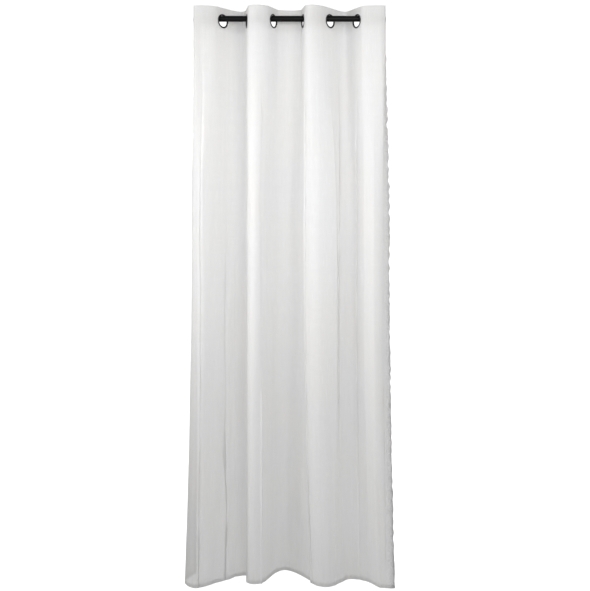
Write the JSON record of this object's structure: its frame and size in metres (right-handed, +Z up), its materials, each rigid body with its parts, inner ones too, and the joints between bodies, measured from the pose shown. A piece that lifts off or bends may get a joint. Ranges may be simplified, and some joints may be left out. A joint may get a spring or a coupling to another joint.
{
  "type": "sheer curtain on a rod",
  "caption": "Sheer voile panel hanging in soft uneven folds from a straight round rod that runs through dark metal eyelets, with a turned heading and narrow side and bottom hems.",
  "frame": {"origin": "middle of the curtain rod's axis", "axes": "+X along the rod, to the right as the curtain is looked at; -Y out of the front of the curtain; +Z up"},
  "size_m": [0.8882, 0.193, 2.45],
  "materials": {
    "voile": "sheer white voile, fine plain weave with faint slubs",
    "rod_black": "satin black",
    "eyelet_metal": "gunmetal, semi-gloss"
  },
  "bodies": {
    "root": {"curtain_panel": "voile", "curtain_rod": "rod_black", "eyelet_1": "eyelet_metal", "eyelet_2": "eyelet_metal", "eyelet_3": "eyelet_metal", "eyelet_4": "eyelet_metal", "eyelet_5": "eyelet_metal", "eyelet_6": "eyelet_metal", "eyelet_7": "eyelet_metal", "eyelet_8": "eyelet_metal"}
  },
  "joints": []
}
